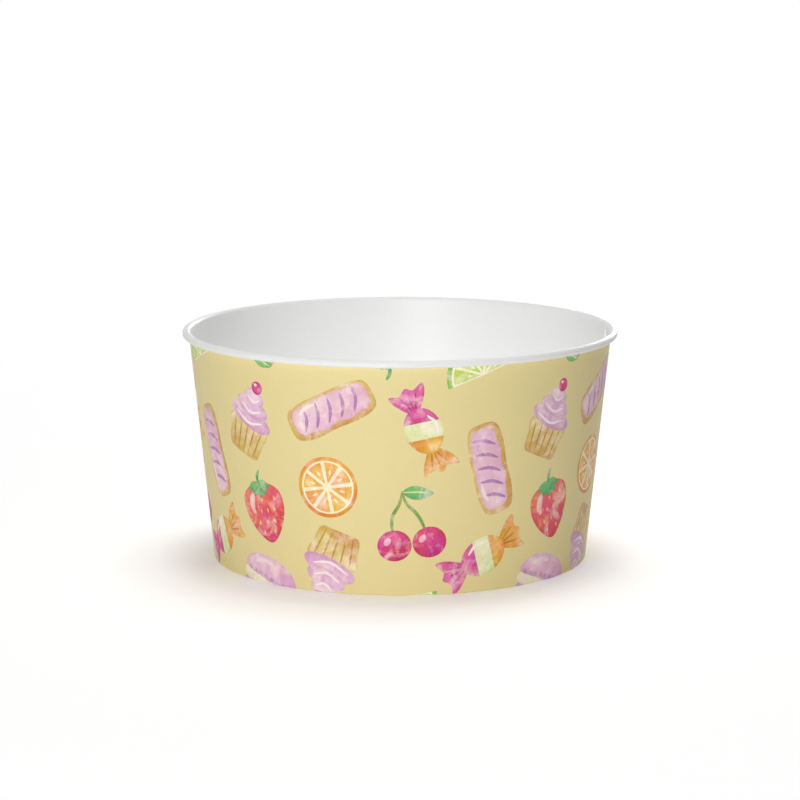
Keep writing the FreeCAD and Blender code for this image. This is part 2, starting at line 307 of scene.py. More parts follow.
def eclair():
    body = rounded([(-20, 0), (-18.5, -6), (-11, -8), (0, -7.6), (11, -8), (18.5, -6),
                    (20, 0), (18.5, 6), (11, 8), (0, 8.2), (-11, 8), (-18.5, 6)])
    icing = rounded([(-17.8, 0.4), (-16, -4.4), (-9, -5.4), (-4, -6.4), (1, -5.2),
                     (7, -6.2), (12, -5.0), (16.5, -4.2), (18, 0.5), (16, 5.6), (9, 6.6),
                     (0, 6.9), (-9, 6.7), (-16, 5.4)])
    parts = [wash(body, "#CFA052", "#E4C583", "#BC8A43"),
             wash(icing, "#E2AFC6", "#EFCBD6", "#D08FB5", 40)]
    for place in (-12, -6, 0, 6, 12):
        drip = [(place - 2.4, -4.2), (place + 0.6, 0.6), (place + 1.4, 5.6)]
        parts.append(wash(stroke(drip, 1.5), "#B77DB6", "#CE9CC9", "#A768A4"))
    parts.append(flat_wash(stroke([(-13.5, 3.6), (-10, 5.1), (-5, 5.3)], 1.5), PALE))
    return parts


def cupcake():
    case = rounded([(-11.6, -0.5), (-10.4, -7), (-8.8, -14), (-4, -14.8), (4, -14.8),
                    (8.8, -14), (10.4, -7), (11.6, -0.5), (6, 0.8), (0, -0.4), (-6, 0.8)])
    parts = [wash(case, "#D3A654", "#EBD49A", "#B98B42")]
    for foot, top in zip((-6.2, -3.1, 0, 3.1, 6.2), (-8.2, -4.1, 0, 4.1, 8.2)):
        parts.append(flat_wash(stroke([(foot, -14), (top, -1.6)], 0.9), "#BC9048"))
    for height, across, up, low, high in ((2.6, 12.4, 4.6, "#D59BC4", "#EBC3D6"),
                                          (7.6, 9.2, 4.3, "#DBA5CB", "#F0CFDD"),
                                          (12.2, 5.6, 3.6, "#E0AFCB", "#F5DDE3")):
        parts.append(wash(ring((0, height), across, up, -5), low, high, "#BF80B2", 20))
        swirl = [(-across * 0.7, height - 0.4), (0, height - up * 0.55),
                 (across * 0.6, height + 0.4)]
        parts.append(flat_wash(stroke(swirl, 1.2), "#F7E7EA"))
    parts.append(wash(ring((0.4, 17.2), 3.0), "#C92F78", "#E65C97", "#AE2466"))
    parts.append(flat_wash(ring((-0.7, 18.2), 0.9, 0.7), PALE))
    return parts


def wrapped_sweet():
    parts = []
    for side, low, high, edge in ((-1, "#CF3C86", "#E778AC", "#B52B72"),
                                  (1, "#E0902F", "#F0BC6A", "#C87A25")):
        fan = rounded([(side * 8, 0), (side * 14, 6.4), (side * 19.5, 8),
                       (side * 18, 3), (side * 20, 0.2), (side * 17.8, -3.4),
                       (side * 18.8, -7.8), (side * 13.5, -5.8)][::side])
        parts.append(wash(fan, low, high, edge, -90 * side))
        for rise in (-3.4, 0.2, 3.6):
            crease = [(side * 9.5, rise * 0.2), (side * 13, rise * 0.6), (side * 16.6, rise)]
            parts.append(flat_wash(stroke(crease, 0.8), edge))
    body = ring((0, 0), 10.4, 8.0)
    parts.append(wash(body, "#DCE3A0", "#F1F0C8", "#B9C774", 30))
    left = trimmed(body, turning(-14) @ [1.0, 0.0], -3.6)
    right = trimmed(body, turning(-14) @ [-1.0, 0.0], -3.8)
    parts.append(wash(left, "#CF3C86", "#E36BA4", "#B52B72", 20))
    parts.append(wash(right, "#E39A34", "#F0B95D", "#C87A25", -20))
    parts.append(flat_wash(stroke([(-5.5, 4), (-1, 6), (4.5, 4.8)], 1.3), "#FBF3DF"))
    return parts


PITH_SHARE = 0.88
WEDGE_SHARE = 0.82
WEDGE_TURN = 0.47
WEDGE_START, GLINT_START, GLINT_END = 1.5, 4.8, 6.9


def citrus(rind, pith, low, high, edge, radius, start, end, segments):
    """A citrus slice, whole or half, with its segments."""
    parts = [wash(ring((0, 0), radius, start=start, end=end), *rind),
             flat_wash(ring((0, 0), radius * PITH_SHARE, start=start, end=end), pith)]
    for place in range(segments):
        middle = start + (place + 0.5) * (end - start) / segments
        reach = WEDGE_TURN * (end - start) / segments
        way = turning(middle) @ [1.0, 0.0]
        wedge = ring(way * WEDGE_START, radius * WEDGE_SHARE - WEDGE_START,
                     start=middle - reach, end=middle + reach)
        parts.append(wash(wedge, low, high, edge, middle))
        glint = [way * GLINT_START, way * GLINT_END]
        parts.append(flat_wash(stroke(glint, 1.0), pith))
    return parts


def lime_half():
    return citrus(("#6FAE4B", "#A9CB52", "#3E8E4C"), "#F3F0CB", "#BFD454", "#DDE68C",
                  "#A5BF45", 15.5, 180, 360, 5)


def orange_slice():
    return citrus(("#E08A2E", "#F0AC4B", "#C97524"), "#FBEBC4", "#EBA340", "#F5C56F",
                  "#DB8A2C", 11.5, 0, 360, 8)


def cherries():
    parts = []
    for foot in ((-7.5, -6), (6.5, -8)):
        stem = [foot, (foot[0] * 0.75, foot[1] + 9), (foot[0] * 0.2, 8), (1, 13)]
        parts.append(wash(stroke(stem, 1.4), "#7C9B45", "#A6B85A", "#5E8440"))
    parts += leaf((1, 12.5), (13, 9), 6)
    for centre in ((-7.5, -8.5), (6.5, -10.5)):
        parts.append(wash(ring(centre, 6.9, 6.5), "#C22C6E", "#E14F90", "#A51F5C", 25))
        glow = np.array(centre) + [-2.4, 2.2]
        parts.append(wash(ring(glow, 1.9, 1.3, 40), "#F0A3C0", PALE, "#E878A6"))
    return parts


def macaron():
    top = rounded([(-13, 1.6), (-11.5, 6.5), (-5, 10), (4, 10.2), (11, 7), (13, 1.8),
                   (5, 0.6), (-5, 0.6)])
    foot = rounded([(-12.6, -3.4), (-5, -2.4), (5, -2.4), (12.6, -3.4), (11, -8),
                    (4, -10.2), (-5, -10), (-11.2, -7.6)][::-1])
    cream = rounded([(-12.2, 1.4), (0, 0.6), (12.2, 1.4), (12.4, -3), (0, -3.6),
                     (-12.4, -3)][::-1])
    parts = [wash(foot, "#CF97C6", "#E3B6D6", "#B57AB0"),
             wash(cream, "#F3E6C4", "#FAF1DA", "#DCC48E"),
             wash(top, "#DDA3C6", "#F0CAD9", "#C084B4", 15)]
    for place in np.linspace(-10.5, 10.5, 8):
        parts.append(flat_wash(ring((place, 1.7), 1.2, 0.9), "#C995C2"))
    parts.append(wash(stroke([(-8.5, 5), (-4.5, 7.6), (1, 8)], 1.8), "#F5DDE5", PALE, "#EBC2D3"))
    return parts


# Sidewall, its print laid out. The design repeats four times round the blank, and runs
# over the edges, where the roll, the fold and the raw edge cut it off.
REPEATS = 4
EDGE_MARGIN = 0.2
MOTIFS = {
    "strawberry": strawberry(), "eclair": eclair(), "cupcake": cupcake(),
    "sweet": wrapped_sweet(), "lime": lime_half(), "orange": orange_slice(),
    "cherries": cherries(), "macaron": macaron(),
}
# Place across and up in one repeat, turn in degrees, and scale
LAYOUT = [
    ("sweet", 12, 12, 30, 0.8), ("eclair", 13, 42, 105, 0.8), ("lime", 9, 74, 200, 0.82),
    ("macaron", 39, 0, -18, 0.88), ("strawberry", 40, 26, 14, 0.85),
    ("cupcake", 36, 55, -22, 0.78), ("cherries", 50, 85, 168, 0.8),
    ("cupcake", 66, 10, 160, 0.78), ("orange", 66, 36, 10, 0.9),
    ("eclair", 68, 62, 26, 0.8),
    ("lime", 90, -1, 8, 0.82), ("cherries", 93, 25, 14, 0.82),
    ("sweet", 98, 56, -65, 0.78), ("strawberry", 86, 86, 190, 0.82),
]
fan_foot = wall_foot[0] / math.sin(tilt)


def laid(points, place):
    """Flat millimetres about a motif's place, as columns and lengths on the blank."""
    column, length, lean, scale = place
    across, up = (points * scale @ turning(lean).T).T
    reach = fan_foot + length - foot_line
    turn = np.arctan2(across, reach + up) / math.sin(tilt)
    return np.stack([column + turn * middle_radius,
                     length + np.hypot(across, reach + up) - reach], 1)


def unlaid(points, place):
    """Columns and lengths on the blank, as flat millimetres about a motif's place."""
    column, length, lean, scale = place
    reach = fan_foot + length - foot_line
    angle = (points[:, 0] - column) / middle_radius * math.sin(tilt)
    away = reach + points[:, 1] - length
    across, up = away * np.sin(angle), away * np.cos(angle) - reach
    return np.stack([across, up], 1) @ turning(lean) / scale


repeat_width = sheet_width / REPEATS
blank_edges = [
    ((1, 0), sheet_width - EDGE_MARGIN), ((-1, 0), -EDGE_MARGIN),
    ((0, 1), top_line - EDGE_MARGIN), ((0, -1), -EDGE_MARGIN),
]
painted = []
for repeat in range(-1, REPEATS + 1):
    for name, across, up, lean, scale in LAYOUT:
        place = (repeat * repeat_width + across, foot_line + up, lean, scale)
        for part in MOTIFS[name]:
            outline = laid(part["outline"], place)
            for way, limit in blank_edges:
                outline = trimmed(outline, way, limit) if len(outline) else outline
            if len(outline) > 2:
                painted.append((outline, place, part))


def inside(points, outline):
    """Which points lie inside a closed outline."""
    odd = np.zeros(len(points), bool)
    for (x0, y0), (x1, y1) in zip(outline, np.roll(outline, -1, 0)):
        if y0 != y1:
            crosses = (points[:, 1] < y0) != (points[:, 1] < y1)
            reach = x0 + (points[:, 1] - y0) * (x1 - x0) / (y1 - y0)
            odd ^= crosses & (points[:, 0] < reach)
    return odd


# Sidewall, its printed face as a mesh. The blank is cut up flat along the outlines, along
# the seam and along the rows of the fold, and then it is wrapped.
FINE_STEP = 1.15
LEAST_FILLED = 4 * FINE_STEP
CLEAR_OF_FOLD = 0.3
CLEAR_OF_OUTLINE = 0.42
SAME_POINT = 0.01
fold_rows = path_length[:WALL_START + 1]
wall_rows = path_length[WALL_START:WALL_END + 1]
cut_points = []
cut_edges = []


def cut_line(points, closed=False):
    """Adds points to the flat blank, with the cuts from each one to the next."""
    first = len(cut_points)
    count = len(points)
    cut_points.extend((float(column), float(length)) for column, length in points)
    cut_edges.extend((first + k, first + k + 1) for k in range(count - 1))
    if closed:
        cut_edges.append((first + count - 1, first))


for length in [*fold_rows, top_line]:
    cut_line([(column, length) for column in columns])
seam_columns = (seam_turns[:-1] - raw_edge) * middle_radius
half_column = columns[np.abs(columns - sheet_width / 2).argmin()]
for column in [0.0, sheet_width, half_column, *seam_columns]:
    cut_line([(column, length) for length in path_length[:WALL_END + 1]])
for outline, place, part in painted:
    cut_line(outline, closed=True)

# A grid of points fills the ground, and a finer one the paint, both clear of the cuts
outline_tree = KDTree(len(cut_points))
for index, (column, length) in enumerate(cut_points):
    outline_tree.insert((column, length, 0), index)
outline_tree.balance()
grid = np.stack(np.meshgrid(columns[1:-1], wall_rows[1:-1]), -1).reshape(-1, 2)
in_paint = np.zeros(len(grid), bool)
fine = []
for outline, place, part in painted:
    low, high = outline.min(0), outline.max(0)
    if min(high - low) < LEAST_FILLED:
        continue
    near = np.flatnonzero(((grid > low) & (grid < high)).all(1))
    in_paint[near[inside(grid[near], outline)]] = True
    steps = [np.arange(math.floor(start / FINE_STEP), end / FINE_STEP) * FINE_STEP
             for start, end in zip(low, high)]
    close = np.stack(np.meshgrid(*steps), -1).reshape(-1, 2)
    fine.append(close[inside(close, outline)])
fine = np.unique(np.round(np.vstack(fine), 6), axis=0)
fine = fine[fine[:, 1] > foot_line + CLEAR_OF_FOLD]
for column, length in np.vstack([grid[~in_paint], fine]):
    if outline_tree.find((column, length, 0))[2] > CLEAR_OF_OUTLINE:
        cut_points.append((float(column), float(length)))

flat_points, _, flat_faces, _, _, _ = delaunay_2d_cdt(
    cut_points, cut_edges, [], 0, SAME_POINT
)
flat_points = np.array(flat_points)
flat_faces = np.array(flat_faces)
centres = flat_points[flat_faces].mean(1)
face_parts = np.full(len(flat_faces), -1)
for index, (outline, place, part) in enumerate(painted):
    near = np.flatnonzero(((centres > outline.min(0)) & (centres < outline.max(0))).all(1))
    face_parts[near[inside(centres[near], outline)]] = index


# Sidewall, its whole mesh: the printed face, then rings round the roll, down the white
# face and up the hem, and last the strip of raw board at the outer ply's edge.
ON_LINE = 1e-4
NO_LIFT = 1e-6


def sheet_position(points, lift):
    """Points of the flat blank, wrapped into the cone."""
    turn = points[:, 0] / middle_radius + raw_edge
    radius = np.interp(points[:, 1], path_length, path[:, 0]) + lift * wall_out[0]
    height = np.interp(points[:, 1], path_length, path[:, 1]) + lift * wall_out[1]
    return turned(radius, height, turn)


def on_line(across, along, line):
    """The flat points that lie on a line, in order along it."""
    found = np.flatnonzero(np.abs(across - line) < ON_LINE)
    return found[np.argsort(along[found])]


flat_columns, flat_lengths = flat_points.T
lift = ply_lift(flat_columns, flat_lengths)
positions = list(sheet_position(flat_points, lift))
same_as = np.arange(len(flat_points))
left_edge, right_edge = [
    on_line(flat_columns, flat_lengths, line) for line in (0.0, sheet_width)
]
assert len(left_edge) == len(right_edge), "the raw edge's two sides differ"
for left, right in zip(left_edge, right_edge):
    if lift[right] < NO_LIFT:
        same_as[right] = left
top_ring, bottom_ring = [
    same_as[on_line(flat_lengths, flat_columns, line)][:-1] for line in (top_line, 0.0)
]
steps_round = len(turns) - 1
assert len(top_ring) == len(bottom_ring) == steps_round, "a row of the blank has other points"

PRINTED, WHITE, RAW = range(3)
STRIP_MAP = 2.0
faces, finishes, maps, part_of = [], [], [], []


def add_face(corners, finish, flat, part=-1):
    """Adds a face, with its finish, its place on the flat blank and the wash on it."""
    faces.append([int(corner) for corner in corners])
    finishes.append(finish)
    maps.append(flat)
    part_of.append(part)


for face, part in zip(flat_faces, face_parts):
    add_face(same_as[face], PRINTED, flat_points[face], part)

# Printed face inside the roll, the roll's raw end, the white face, and the hem's raw end
inner_rows = [(row, 0.0, PRINTED) for row in range(WALL_END + 1, len(path))]
inner_rows += [(row, BOARD, WHITE) for row in reversed(range(len(path)))]
rings = [top_ring]
for row, away, finish in inner_rows:
    radius, height, left_out, left_up = path[row]
    groove = groove_depth(turns[:-1], height) * (WALL_START <= row <= WALL_END) * (away > 0)
    reach = away - groove
    rings.append(range(len(positions), len(positions) + steps_round))
    positions.extend(turned(radius + reach * left_out, height + reach * left_up, turns[:-1]))
rings.append(bottom_ring)
ring_finish = [finish for _, _, finish in inner_rows] + [RAW]
ring_finish[len(path) - 1 - WALL_END] = RAW
ring_length = top_line
for lower, upper, finish in zip(rings, rings[1:], ring_finish):
    lower_point, upper_point = positions[lower[0]], positions[upper[0]]
    next_length = ring_length + np.linalg.norm(upper_point - lower_point)
    for here in range(steps_round):
        beside = (here + 1) % steps_round
        # The groove ends in a step one board high, which is the inner ply's raw edge
        in_groove = groove_depth(turns[here], upper_point[2]) > BOARD / 2
        at_ply_edge = turns[here] == crest_start and in_groove and finish == WHITE
        add_face(
            (lower[here], lower[beside], upper[beside], upper[here]),
            RAW if at_ply_edge else finish,
            np.array([(columns[here], ring_length), (columns[here + 1], ring_length),
                      (columns[here + 1], next_length), (columns[here], next_length)]),
        )
    ring_length = next_length

# The outer ply's raw edge, which comes to nothing at the foot and under the roll
for left, next_left, right, next_right in zip(
    left_edge, left_edge[1:], right_edge, right_edge[1:]
):
    low, high = flat_points[[left, next_left], 1]
    strip = {
        int(same_as[right]): (low, ring_length + STRIP_MAP),
        int(same_as[next_right]): (high, ring_length + STRIP_MAP),
        int(same_as[next_left]): (high, ring_length),
        int(same_as[left]): (low, ring_length),
    }
    if len(strip) > 2:
        corners = [left, next_left, next_right, right]
        corners = list(dict.fromkeys(int(same_as[index]) for index in corners))
        add_face(corners, RAW, np.array([strip[corner] for corner in corners]))

used = np.unique(np.concatenate([np.array(face) for face in faces]))
place_of = np.full(len(positions), -1)
place_of[used] = np.arange(len(used))
positions = np.array(positions)
wall_mesh = bpy.data.meshes.new("printed_sidewall")
wall_mesh.from_pydata(positions[used] * MM, [], [place_of[face].tolist() for face in faces])
wall_mesh.polygons.foreach_set("material_index", finishes)
SHARP_ANGLE = math.radians(40)
wall_mesh.shade_smooth()
wall_mesh.set_sharp_from_angle(angle=SHARP_ANGLE)

# Colours at the corners: paint on the motifs, and the ground colour everywhere else. Slow
# waves, some 9 mm and 5 mm long, make a wash wetter and drier, and its paint pools in a
# line half a millimetre wide inside its outline.
GROUND = "#E4D498"
WET_SHIFT, DRY_SHIFT = 0.28, 0.16
POOL, POOL_SWING, POOL_WIDTH = 0.38, 0.3, 0.55
corner_count = len(wall_mesh.loops)
starts = np.concatenate([[0], np.cumsum([len(face) for face in faces])])
colours = np.tile([*linear(GROUND), 0.0], (corner_count, 1))
part_of = np.array(part_of)
for part_index in np.unique(part_of[part_of >= 0]):
    outline, place, part = painted[part_index]
    where = np.flatnonzero(part_of == part_index)
    corners = (starts[where][:, None] + np.arange(3)).ravel()
    points = np.vstack([maps[index] for index in where])
    local = unlaid(points, place)
    start, end = part["outline"], np.roll(part["outline"], -1, 0)
    span = end - start
    along = ((local[:, None] - start) * span).sum(2) / np.maximum((span ** 2).sum(1), 1e-9)
    nearest = start + np.clip(along, 0, 1)[:, :, None] * span
    distance = np.linalg.norm(local[:, None] - nearest, axis=2).min(1)
    reach = part["outline"] @ part["way"]
    share = between(local @ part["way"], reach.min(), reach.max())
    x, y = local.T
    wet = np.sin(0.55 * x + 0.9) * np.sin(0.62 * y - 0.3 * x)
    drier = np.sin(1.1 * x - 0.7 * y + 2.0) * np.sin(0.9 * y + 0.5 * x)
    share = np.clip(share + WET_SHIFT * wet + DRY_SHIFT * drier, 0, 1)
    low_colour, high_colour, edge_colour = part["colours"]
    colour = low_colour + share[:, None] * (high_colour - low_colour)
    pool = ((POOL + POOL_SWING * wet) * np.exp(-distance / POOL_WIDTH))[:, None]
    colours[corners, :3] = colour + pool * (edge_colour - colour)
    colours[corners, 3] = 1.0
paint_layer = wall_mesh.color_attributes.new("paint", "FLOAT_COLOR", "CORNER")
paint_layer.data.foreach_set("color", colours.astype(np.float32).ravel())

# The blank unrolled in two strips of half a turn each, with the white face below them
UV_MARGIN = 0.004
WHITE_RISE = 0.22
STRIP_FOOT, STRIP_RISE, STRIP_GAP = 0.24, 0.37, 0.006
flat_map = np.vstack(maps)
middle = np.repeat([flat[:, 0].mean() for flat in maps], np.diff(starts))
second = middle > half_column
sheet_across = (flat_map[:, 0] - second * half_column) / (sheet_width - half_column)
sheet_rise = second * (STRIP_RISE + STRIP_GAP) + flat_map[:, 1] / top_line * STRIP_RISE
whole_across = flat_map[:, 0] / sheet_width
whole_rise = (flat_map[:, 1] - top_line) / (ring_length + STRIP_MAP - top_line) * WHITE_RISE
on_sheet = np.arange(corner_count) < starts[len(flat_faces)]
uv = np.stack([
    UV_MARGIN + (1 - 2 * UV_MARGIN) * np.where(on_sheet, sheet_across, whole_across),
    np.where(on_sheet, STRIP_FOOT + sheet_rise, 2 * UV_MARGIN + whole_rise),
], 1)
uv_layer = wall_mesh.uv_layers.new(name="OFBake")
uv_layer.data.foreach_set("uv", uv.astype(np.float32).ravel())

# Exact normals on the printed face, so that its many small facets don't show in the light
SLOPE_STEP = 0.05
corner_columns, corner_lengths = flat_map[on_sheet].T
corner_turns = corner_columns / middle_radius + raw_edge
out_across = -np.interp(corner_lengths, path_length, path[:, 2])
out_up = -np.interp(corner_lengths, path_length, path[:, 3])
slope = (ply_lift(corner_columns + SLOPE_STEP, corner_lengths)
         - ply_lift(corner_columns - SLOPE_STEP, corner_lengths)) / (2 * SLOPE_STEP)
normals = np.zeros((corner_count, 3))
normals[on_sheet] = turned(out_across, out_up, corner_turns)
normals[on_sheet, 0] += slope * np.sin(corner_turns)
normals[on_sheet, 1] -= slope * np.cos(corner_turns)
normals[on_sheet] /= np.linalg.norm(normals[on_sheet], axis=1)[:, None]
wall_mesh.normals_split_custom_set(normals.tolist())
sidewall = bpy.data.objects.new("printed_sidewall", wall_mesh)
bpy.context.scene.collection.objects.link(sidewall)


# Sidewall, its finishes. The blank is coated cupstock: bleached board with a satin film.
# Outside it is printed with thin watery inks, inside it is bare white film, and its cut
# edges show the uncoated fibre.
def add_node(tree, kind, inputs=(), **settings):
    """Adds a node, with its settings, and its inputs as values or as links."""
    made = tree.nodes.new(kind)
    for name, value in settings.items():
        setattr(made, name, value)
    for name, value in dict(inputs).items():
        if isinstance(value, bpy.types.NodeSocket):
            tree.links.new(value, made.inputs[name])
        else:
            made.inputs[name].default_value = value
    return made


def new_material(name):
    material = bpy.data.materials.new(name)
    material.use_nodes = True
    tree = material.node_tree
    return material, tree, tree.nodes["Principled BSDF"]


def fibre_bump(tree, place, shader, size, depth):
    """The fine unevenness of board fibre under the surface."""
    grain = add_node(tree, "ShaderNodeTexNoise", {
        "Vector": place, "Scale": 1 / (size * MM), "Detail": 3.0, "Roughness": 0.6,
    })
    bump = add_node(tree, "ShaderNodeBump", {
        "Height": grain.outputs["Fac"], "Distance": depth * MM, "Strength": 1.0,
    })
    tree.links.new(bump.outputs["Normal"], shader.inputs["Normal"])
    return grain


def ranged(tree, value, low, high, start=0.3, end=0.7):
    """Turns a pattern's middle range into a range of values."""
    return add_node(tree, "ShaderNodeMapRange", {
        "Value": value, "From Min": start, "From Max": end, "To Min": low, "To Max": high,
    }).outputs["Result"]


# Printed cupstock: the ink is matt and grainy where paint lies, and even on the ground. The
# paint has clouds and a fine grain, and its hue drifts. Their sizes are in millimetres.
CLOUD_SIZE, GRAIN_SIZE, DRIFT_SIZE = 5.0, 0.9, 7.0
ink, tree, shader = new_material("printed_cupstock")
place = add_node(tree, "ShaderNodeTexCoord").outputs["Object"]
paint = add_node(tree, "ShaderNodeAttribute", attribute_name="paint")
cloud = add_node(tree, "ShaderNodeTexNoise", {
    "Vector": place, "Scale": 1 / (CLOUD_SIZE * MM), "Detail": 5.0, "Roughness": 0.62,
    "Distortion": 0.6,
})
grain = add_node(tree, "ShaderNodeTexNoise", {
    "Vector": place, "Scale": 1 / (GRAIN_SIZE * MM), "Detail": 3.0, "Roughness": 0.7,
})
ink_share = add_node(tree, "ShaderNodeMapRange", {
    "Value": paint.outputs["Alpha"], "To Min": 0.14, "To Max": 1.0,
}).outputs["Result"]
bloom = add_node(tree, "ShaderNodeMath", {
    0: ranged(tree, cloud.outputs["Fac"], 0.0, 0.6, 0.48, 0.72), 1: paint.outputs["Alpha"],
}, operation="MULTIPLY")
watered = add_node(tree, "ShaderNodeMix", {
    "Factor": bloom.outputs[0], "A": paint.outputs["Color"], "B": (*linear("#F7E9DF"), 1),
}, data_type="RGBA")
grained = add_node(tree, "ShaderNodeMath", {
    0: ranged(tree, grain.outputs["Fac"], -0.07, 0.07), 1: ink_share,
}, operation="MULTIPLY")
clouded = add_node(tree, "ShaderNodeMath", {
    0: ranged(tree, cloud.outputs["Fac"], -0.08, 0.06), 1: ink_share,
}, operation="MULTIPLY")
both = add_node(tree, "ShaderNodeMath", {
    0: grained.outputs[0], 1: clouded.outputs[0],
}, operation="ADD")
density = add_node(tree, "ShaderNodeMath", {0: both.outputs[0], 1: 1.0}, operation="ADD")
tint = add_node(tree, "ShaderNodeTexNoise", {
    "Vector": place, "Scale": 1 / (DRIFT_SIZE * MM), "Detail": 2.0,
})
drift = add_node(tree, "ShaderNodeMath", {
    0: ranged(tree, tint.outputs["Fac"], -0.022, 0.022), 1: paint.outputs["Alpha"],
}, operation="MULTIPLY")
hue = add_node(tree, "ShaderNodeMath", {0: drift.outputs[0], 1: 0.5}, operation="ADD")
pigment = add_node(tree, "ShaderNodeHueSaturation", {
    "Hue": hue.outputs[0], "Value": density.outputs[0], "Color": watered.outputs["Result"],
})
tree.links.new(pigment.outputs["Color"], shader.inputs["Base Color"])
board = fibre_bump(tree, place, shader, size=0.5, depth=0.006)
roughness = ranged(tree, board.outputs["Fac"], low=0.46, high=0.56)
tree.links.new(roughness, shader.inputs["Roughness"])
shader.inputs["Specular IOR Level"].default_value = 0.35

# White film on board: smooth and satin, a little cooler than the fibre beneath it
film, tree, shader = new_material("white_film_on_board")
place = add_node(tree, "ShaderNodeTexCoord").outputs["Object"]
board = fibre_bump(tree, place, shader, size=0.8, depth=0.005)
tint = add_node(tree, "ShaderNodeMix", {
    "Factor": board.outputs["Fac"], "A": (*linear("#EAEAE9"), 1), "B": (*linear("#F0F0EF"), 1),
}, data_type="RGBA")
tree.links.new(tint.outputs["Result"], shader.inputs["Base Color"])
roughness = ranged(tree, board.outputs["Fac"], low=0.36, high=0.46)
tree.links.new(roughness, shader.inputs["Roughness"])
shader.inputs["Specular IOR Level"].default_value = 0.4

# Cut edge of board: bare fibre, dull, and creamier than the film
edge, tree, shader = new_material("cut_board_edge")
place = add_node(tree, "ShaderNodeTexCoord").outputs["Object"]
board = fibre_bump(tree, place, shader, size=0.12, depth=0.02)
tint = add_node(tree, "ShaderNodeMix", {
    "Factor": board.outputs["Fac"], "A": (*linear("#DDD3BC"), 1), "B": (*linear("#F1EADB"), 1),
}, data_type="RGBA")
tree.links.new(tint.outputs["Result"], shader.inputs["Base Color"])
shader.inputs["Roughness"].default_value = 0.85
for material in (ink, film, edge):
    wall_mesh.materials.append(material)
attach(sidewall, "root")
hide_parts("sidewall")


# Base: one round blank of thinner coated board, pressed into a shallow pan that opens
# downwards. Its skirt is sealed between the wall and the hem. The section turns about the
# cup's axis.
BASE_RECESS = 7.0
BASE_BEND = 0.5
SKIRT_CLEARANCE = 0.5
SKIRT_FOOT = BOARD + SKIRT_CLEARANCE
MIDDLE_RADIUS = 20.0
MIDDLE_ROWS, FLOOR_ROWS, BEND_ROWS, SKIRT_ROWS = 4, 8, 8, 4
floor_height = BASE_RECESS + BASE_BOARD
bend_radius = BASE_BEND + BASE_BOARD
skirt_line = np.array([FOOT_RADIUS, 0]) - wall_out * (BOARD + SEAL_FILM)


def on_skirt(height):
    """The point of the skirt's outer face at a height."""
    return skirt_line + wall_up * (height - skirt_line[1]) / math.cos(tilt)


bend_height = floor_height - bend_radius
skirt_top = on_skirt(bend_height - bend_radius * math.sin(tilt))
bend_centre = skirt_top - wall_out * bend_radius
floor_middle, floor_ring, floor_edge = [
    np.array([radius, floor_height]) for radius in (0.0, MIDDLE_RADIUS, bend_centre[0])
]
upper_face = joined(
    straight(floor_middle, floor_ring, MIDDLE_ROWS),
    straight(floor_ring, floor_edge, FLOOR_ROWS),
    bend(bend_centre, bend_radius, QUARTER_TURN, -tilt, BEND_ROWS),
    straight(skirt_top, on_skirt(SKIRT_FOOT), SKIRT_ROWS),
)
lower_face = upper_face[:, :2] - upper_face[:, 2:] * BASE_BOARD
section = np.vstack([upper_face[:, :2], lower_face[::-1]]) * MM
section_mesh = bpy.data.meshes.new("base_section")
section_mesh.from_pydata([(across, 0, up) for across, up in section],
                         [(k, k + 1) for k in range(len(section) - 1)], [])
base = bpy.data.objects.new("recessed_base", section_mesh)
bpy.context.scene.collection.objects.link(base)

# Coated base board: thinner than the wall's, and as white and satin under its film
base_board = film.copy()
base_board.name = "coated_base_board"

# A net of points, one row for each point of the section, wrapped about the cup's axis
WELD_DISTANCE = 0.001
turning_tree = bpy.data.node_groups.new("turned_board", "GeometryNodeTree")
interface = turning_tree.interface
interface.new_socket("Geometry", in_out="INPUT", socket_type="NodeSocketGeometry")
steps_socket = interface.new_socket("Steps round", in_out="INPUT", socket_type="NodeSocketInt")
rows_socket = interface.new_socket("Section points", in_out="INPUT",
                                   socket_type="NodeSocketInt")
interface.new_socket("Geometry", in_out="OUTPUT", socket_type="NodeSocketGeometry")
given = add_node(turning_tree, "NodeGroupInput").outputs
around = add_node(turning_tree, "ShaderNodeMath", {0: given["Steps round"], 1: 1.0},
                  operation="ADD")
net = add_node(turning_tree, "GeometryNodeMeshGrid", {
    "Size X": 1.0, "Size Y": 1.0, "Vertices X": given["Section points"],
    "Vertices Y": around.outputs[0],
})
net_index = add_node(turning_tree, "GeometryNodeInputIndex")
net_row = add_node(turning_tree, "ShaderNodeMath", {
    0: net_index.outputs[0], 1: around.outputs[0],
}, operation="DIVIDE")
section_row = add_node(turning_tree, "ShaderNodeMath", {0: net_row.outputs[0]},
                       operation="FLOOR")
turn_step = add_node(turning_tree, "ShaderNodeMath", {
    0: net_index.outputs[0], 1: around.outputs[0],
}, operation="MODULO")
turn_share = add_node(turning_tree, "ShaderNodeMath", {
    0: turn_step.outputs[0], 1: given["Steps round"],
}, operation="DIVIDE")
turn_angle = add_node(turning_tree, "ShaderNodeMath", {
    0: turn_share.outputs[0], 1: WHOLE_TURN,
}, operation="MULTIPLY")
section_place = add_node(turning_tree, "GeometryNodeInputPosition")
section_point = add_node(turning_tree, "GeometryNodeSampleIndex", {
    "Geometry": given["Geometry"], "Value": section_place.outputs[0],
    "Index": section_row.outputs[0],
}, data_type="FLOAT_VECTOR")
offset = add_node(turning_tree, "ShaderNodeSeparateXYZ", {0: section_point.outputs["Value"]})
cosine = add_node(turning_tree, "ShaderNodeMath", {0: turn_angle.outputs[0]},
                  operation="COSINE")
sine = add_node(turning_tree, "ShaderNodeMath", {0: turn_angle.outputs[0]}, operation="SINE")
out_x = add_node(turning_tree, "ShaderNodeMath", {
    0: offset.outputs["X"], 1: cosine.outputs[0],
}, operation="MULTIPLY")
